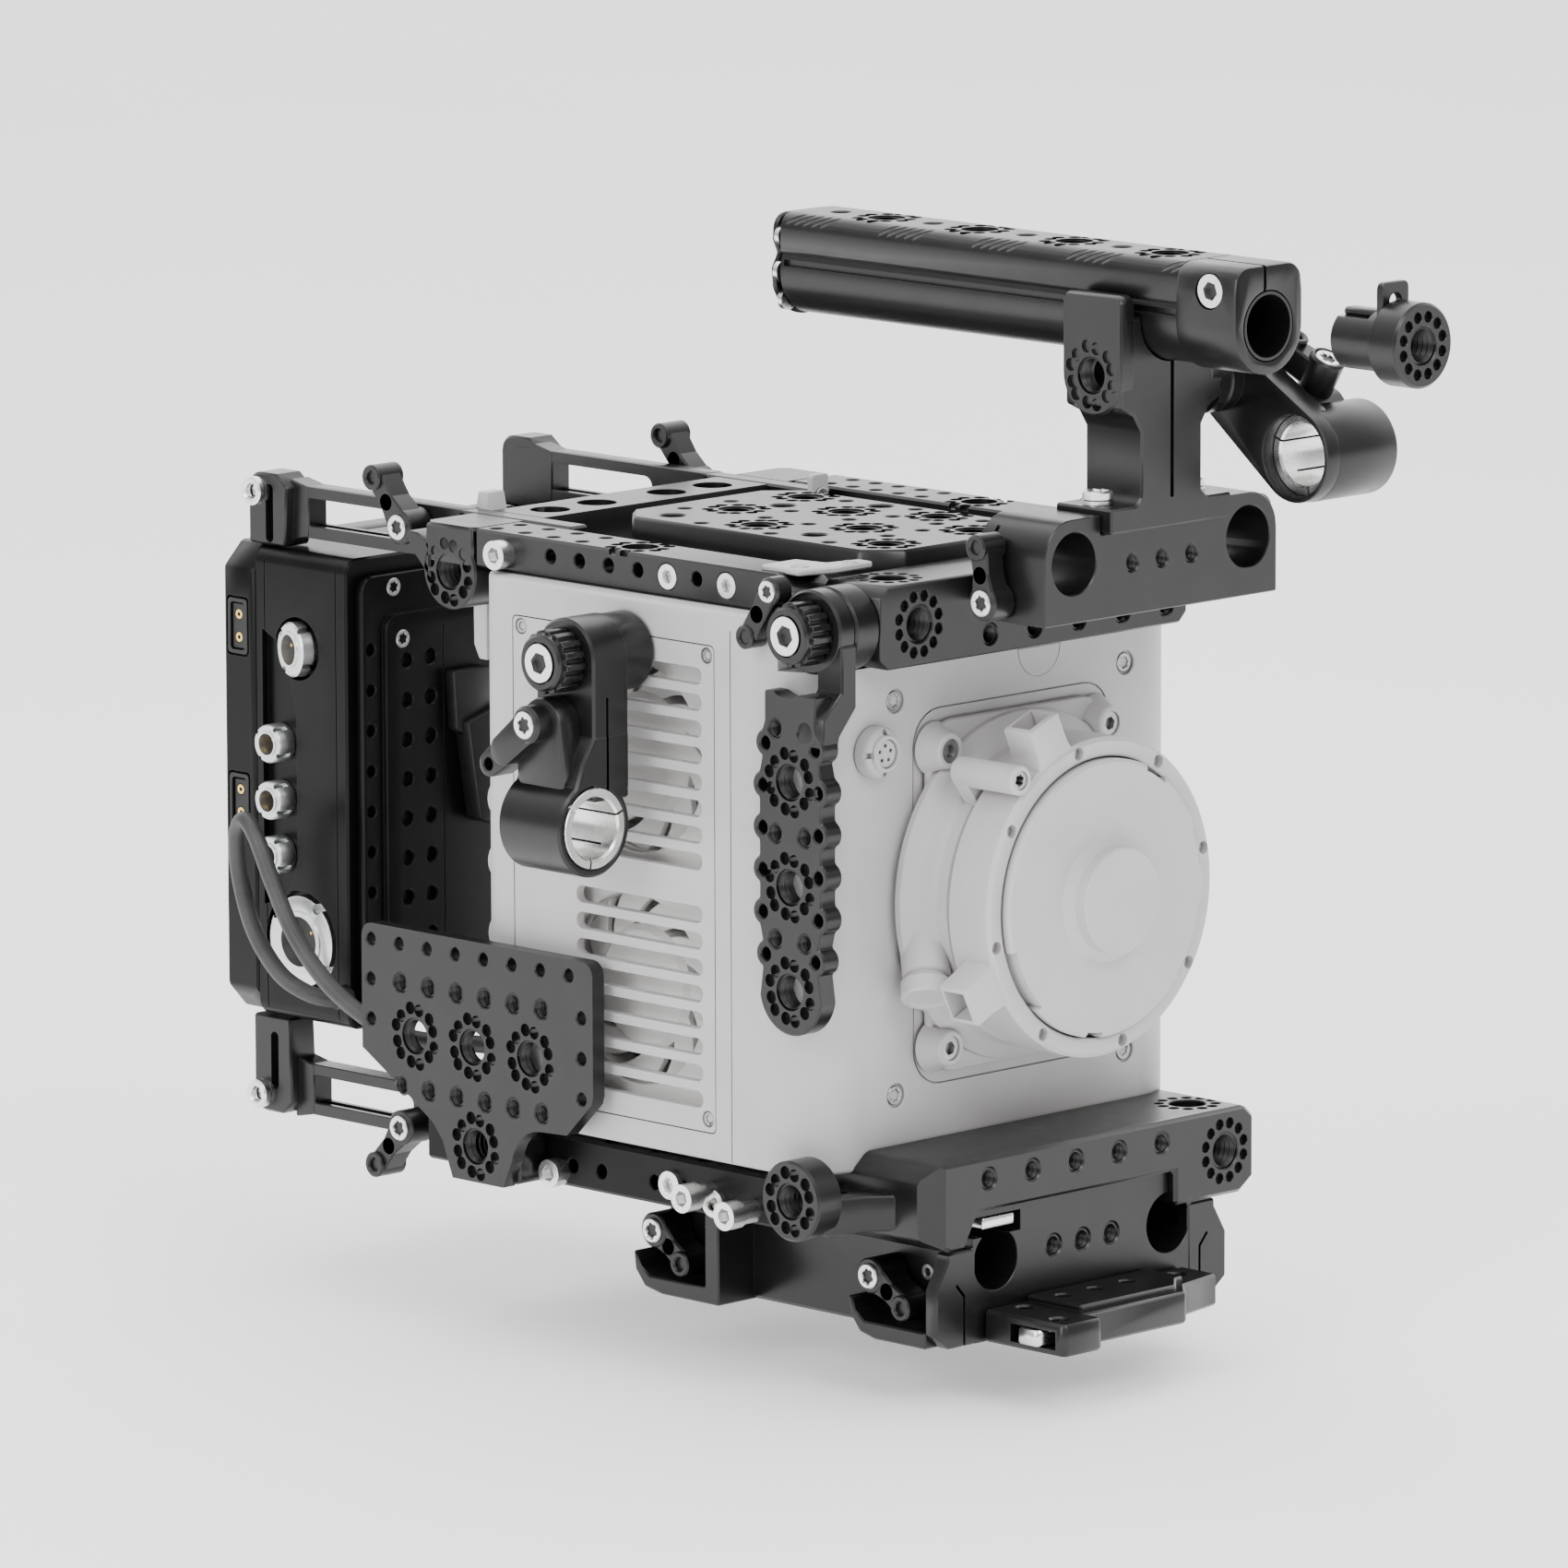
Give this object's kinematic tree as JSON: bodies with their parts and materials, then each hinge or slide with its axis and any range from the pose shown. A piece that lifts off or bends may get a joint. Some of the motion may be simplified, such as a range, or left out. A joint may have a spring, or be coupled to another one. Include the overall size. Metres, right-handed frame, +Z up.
{
  "type": "cinema camera rig",
  "caption": "Box cinema camera in a cheese-plate cage with rod clamps, slotted accessory arms, a top handle with a rod bore and a sliding rear power module.",
  "frame": {"origin": "middle of the rod base's underside", "axes": "+Z up; the camera looks along -Y; +X is the camera's left seen from behind the operator, which is the side away from the vents (the vent side, the operator's right as named here, is -X)"},
  "size_m": [0.163, 0.3596, 0.2624],
  "materials": {
    "anodised": "satin black anodised",
    "camera_grey": "fine matte light grey",
    "silver": "bright turned metal",
    "black_plastic": "moulded black",
    "cable_rubber": "dull black jacket",
    "sensor_glass": "dark coated glass"
  },
  "bodies": {
    "rig": {"base_plate": "anodised", "cable": "cable_rubber", "cage_bottom_plate": "anodised", "camera_body": "camera_grey", "front_connector": "camera_grey", "handle_post": "anodised", "lower_front_bar": "anodised", "lower_left_rail": "anodised", "lower_right_rail": "anodised", "mount_barrel": "camera_grey", "mount_flange": "camera_grey", "quick_release_plate": "anodised", "rod_bracket": "anodised", "sensor_block": "sensor_glass", "side_cover": "camera_grey", "side_plate": "anodised", "swing_hub": "anodised", "top_centre_plate": "anodised", "top_front_bar": "anodised", "top_left_rail": "anodised", "top_rear_bar": "anodised", "top_right_rail": "anodised"},
    "fan_upper": {"fan_upper": "black_plastic"},
    "fan_lower": {"fan_lower": "black_plastic"},
    "lock_ring": {"lock_ring": "camera_grey"},
    "mount_cap": {"mount_cap": "camera_grey"},
    "antenna": {"antenna": "camera_grey"},
    "rod_lever_right": {"rod_lever_right": "anodised"},
    "rod_lever_left": {"rod_lever_left": "anodised"},
    "handle": {"handle_grip": "anodised", "handle_tube": "anodised", "handle_end_cap": "anodised"},
    "rosette_plug": {"rosette_plug": "anodised"},
    "evf_arm": {"evf_arm": "anodised", "evf_bushing": "silver"},
    "evf_lever": {"evf_lever": "anodised"},
    "swing_arm": {"swing_plate": "anodised"},
    "swing_lever": {"swing_lever": "anodised"},
    "swing_knob": {"swing_knob": "anodised"},
    "side_arm": {"side_arm": "anodised", "side_arm_bushing": "silver"},
    "side_arm_lever": {"side_arm_lever": "anodised"},
    "side_arm_knob": {"side_arm_knob": "anodised"},
    "base_lever_front_right": {"base_lever_front_right": "anodised"},
    "base_lever_front_left": {"base_lever_front_left": "anodised"},
    "base_lever_rear_right": {"base_lever_rear_right": "anodised"},
    "base_lever_rear_left": {"base_lever_rear_left": "anodised"},
    "release_tab": {"release_tab": "silver"},
    "safety_latch": {"safety_latch": "silver"},
    "rear_module": {"module_body": "anodised", "battery_plate": "black_plastic", "module_front_plate": "anodised", "arm_top_right": "anodised", "arm_top_left": "anodised", "arm_bottom_right": "anodised", "arm_bottom_left": "anodised"},
    "arm_lever_top_right": {"arm_lever_top_right": "anodised"},
    "arm_lever_top_left": {"arm_lever_top_left": "anodised"},
    "arm_lever_bottom_right": {"arm_lever_bottom_right": "anodised"},
    "arm_lever_bottom_left": {"arm_lever_bottom_left": "anodised"}
  },
  "joints": [
    {"name": "fan_upper_spin", "type": "hinge", "parent": "rig", "child": "fan_upper", "pos_m": [-0.055, 0.0395, 0.1346], "axis": [1, 0, 0], "continuous": true},
    {"name": "fan_lower_spin", "type": "hinge", "parent": "rig", "child": "fan_lower", "pos_m": [-0.055, 0.0395, 0.0776], "axis": [1, 0, 0], "continuous": true},
    {"name": "lock_ring_turn", "type": "hinge", "parent": "rig", "child": "lock_ring", "pos_m": [0, -0.0515, 0.1046], "axis": [0, 1, 0], "range_deg": [0, 60]},
    {"name": "mount_cap_pull", "type": "slide", "parent": "rig", "child": "mount_cap", "axis": [0, -1, 0], "range_m": [0, 0.04]},
    {"name": "antenna_tilt", "type": "hinge", "parent": "rig", "child": "antenna", "pos_m": [-0.0337, 0.1185, 0.1566], "axis": [0, 1, 0], "range_deg": [0, 90]},
    {"name": "rod_lever_right_turn", "type": "hinge", "parent": "rig", "child": "rod_lever_right", "pos_m": [-0.04415, -0.0635, 0.182], "axis": [1, 0, 0], "range_deg": [0, 80]},
    {"name": "rod_lever_left_turn", "type": "hinge", "parent": "rig", "child": "rod_lever_left", "pos_m": [0.04415, -0.0635, 0.182], "axis": [1, 0, 0], "range_deg": [0, 80]},
    {"name": "handle_slide", "type": "slide", "parent": "rig", "child": "handle", "axis": [0, 1, 0], "range_m": [-0.06, 0.01]},
    {"name": "rosette_plug_slide", "type": "slide", "parent": "handle", "child": "rosette_plug", "axis": [0, 1, 0], "range_m": [0, 0.0378]},
    {"name": "evf_arm_tilt", "type": "hinge", "parent": "rig", "child": "evf_arm", "pos_m": [0.022, -0.071, 0.2296], "axis": [1, 0, 0], "range_deg": [-90, 0]},
    {"name": "evf_lever_turn", "type": "hinge", "parent": "evf_arm", "child": "evf_lever", "pos_m": [0.04, -0.0918, 0.2312], "axis": [0, -0.5, 0.866], "range_deg": [-90, 0]},
    {"name": "swing_arm_tilt", "type": "hinge", "parent": "rig", "child": "swing_arm", "pos_m": [-0.064, -0.0255, 0.1731], "axis": [1, 0, 0], "range_deg": [-90, 10]},
    {"name": "swing_lever_turn", "type": "hinge", "parent": "swing_arm", "child": "swing_lever", "pos_m": [-0.0711, -0.0181, 0.1828], "axis": [1, 0, 0], "range_deg": [0, 90]},
    {"name": "swing_knob_turn", "type": "hinge", "parent": "swing_arm", "child": "swing_knob", "pos_m": [-0.071, -0.0255, 0.1731], "axis": [1, 0, 0], "continuous": true},
    {"name": "side_arm_tilt", "type": "hinge", "parent": "rig", "child": "side_arm", "pos_m": [-0.082, 0.0355, 0.1623], "axis": [1, 0, 0], "range_deg": [-45, 90]},
    {"name": "side_arm_lever_turn", "type": "hinge", "parent": "side_arm", "child": "side_arm_lever", "pos_m": [-0.095, 0.0373, 0.1475], "axis": [1, 0, 0], "range_deg": [0, 60]},
    {"name": "side_arm_knob_turn", "type": "hinge", "parent": "side_arm", "child": "side_arm_knob", "pos_m": [-0.093, 0.0355, 0.1623], "axis": [1, 0, 0], "continuous": true},
    {"name": "base_lever_front_right_turn", "type": "hinge", "parent": "rig", "child": "base_lever_front_right", "pos_m": [-0.045, -0.0275, 0.0149], "axis": [1, 0, 0], "range_deg": [-45, 0]},
    {"name": "base_lever_front_left_turn", "type": "hinge", "parent": "rig", "child": "base_lever_front_left", "pos_m": [0.045, -0.0275, 0.0149], "axis": [1, 0, 0], "range_deg": [-45, 0]},
    {"name": "base_lever_rear_right_turn", "type": "hinge", "parent": "rig", "child": "base_lever_rear_right", "pos_m": [-0.045, 0.0467, 0.0152], "axis": [1, 0, 0], "range_deg": [-45, 0]},
    {"name": "base_lever_rear_left_turn", "type": "hinge", "parent": "rig", "child": "base_lever_rear_left", "pos_m": [0.045, 0.0467, 0.0152], "axis": [1, 0, 0], "range_deg": [-45, 0]},
    {"name": "release_tab_press", "type": "slide", "parent": "rig", "child": "release_tab", "axis": [0, 1, 0], "range_m": [0, 0.004], "stiffness_N_per_m": 300, "springref_m": -0.001},
    {"name": "safety_latch_press", "type": "slide", "parent": "rig", "child": "safety_latch", "axis": [1, 0, 0], "range_m": [0, 0.003], "stiffness_N_per_m": 300, "springref_m": -0.001},
    {"name": "rear_module_slide", "type": "slide", "parent": "rig", "child": "rear_module", "axis": [0, 1, 0], "range_m": [0, 0.02]},
    {"name": "arm_lever_top_right_turn", "type": "hinge", "parent": "rear_module", "child": "arm_lever_top_right", "pos_m": [-0.04965, 0.1315, 0.1801], "axis": [1, 0, 0], "range_deg": [-60, 0]},
    {"name": "arm_lever_top_left_turn", "type": "hinge", "parent": "rear_module", "child": "arm_lever_top_left", "pos_m": [0.04965, 0.1315, 0.1801], "axis": [1, 0, 0], "range_deg": [-60, 0]},
    {"name": "arm_lever_bottom_right_turn", "type": "hinge", "parent": "rear_module", "child": "arm_lever_bottom_right", "pos_m": [-0.04965, 0.1325, 0.0291], "axis": [1, 0, 0], "range_deg": [0, 60]},
    {"name": "arm_lever_bottom_left_turn", "type": "hinge", "parent": "rear_module", "child": "arm_lever_bottom_left", "pos_m": [0.04965, 0.1325, 0.0291], "axis": [1, 0, 0], "range_deg": [0, 60]}
  ]
}
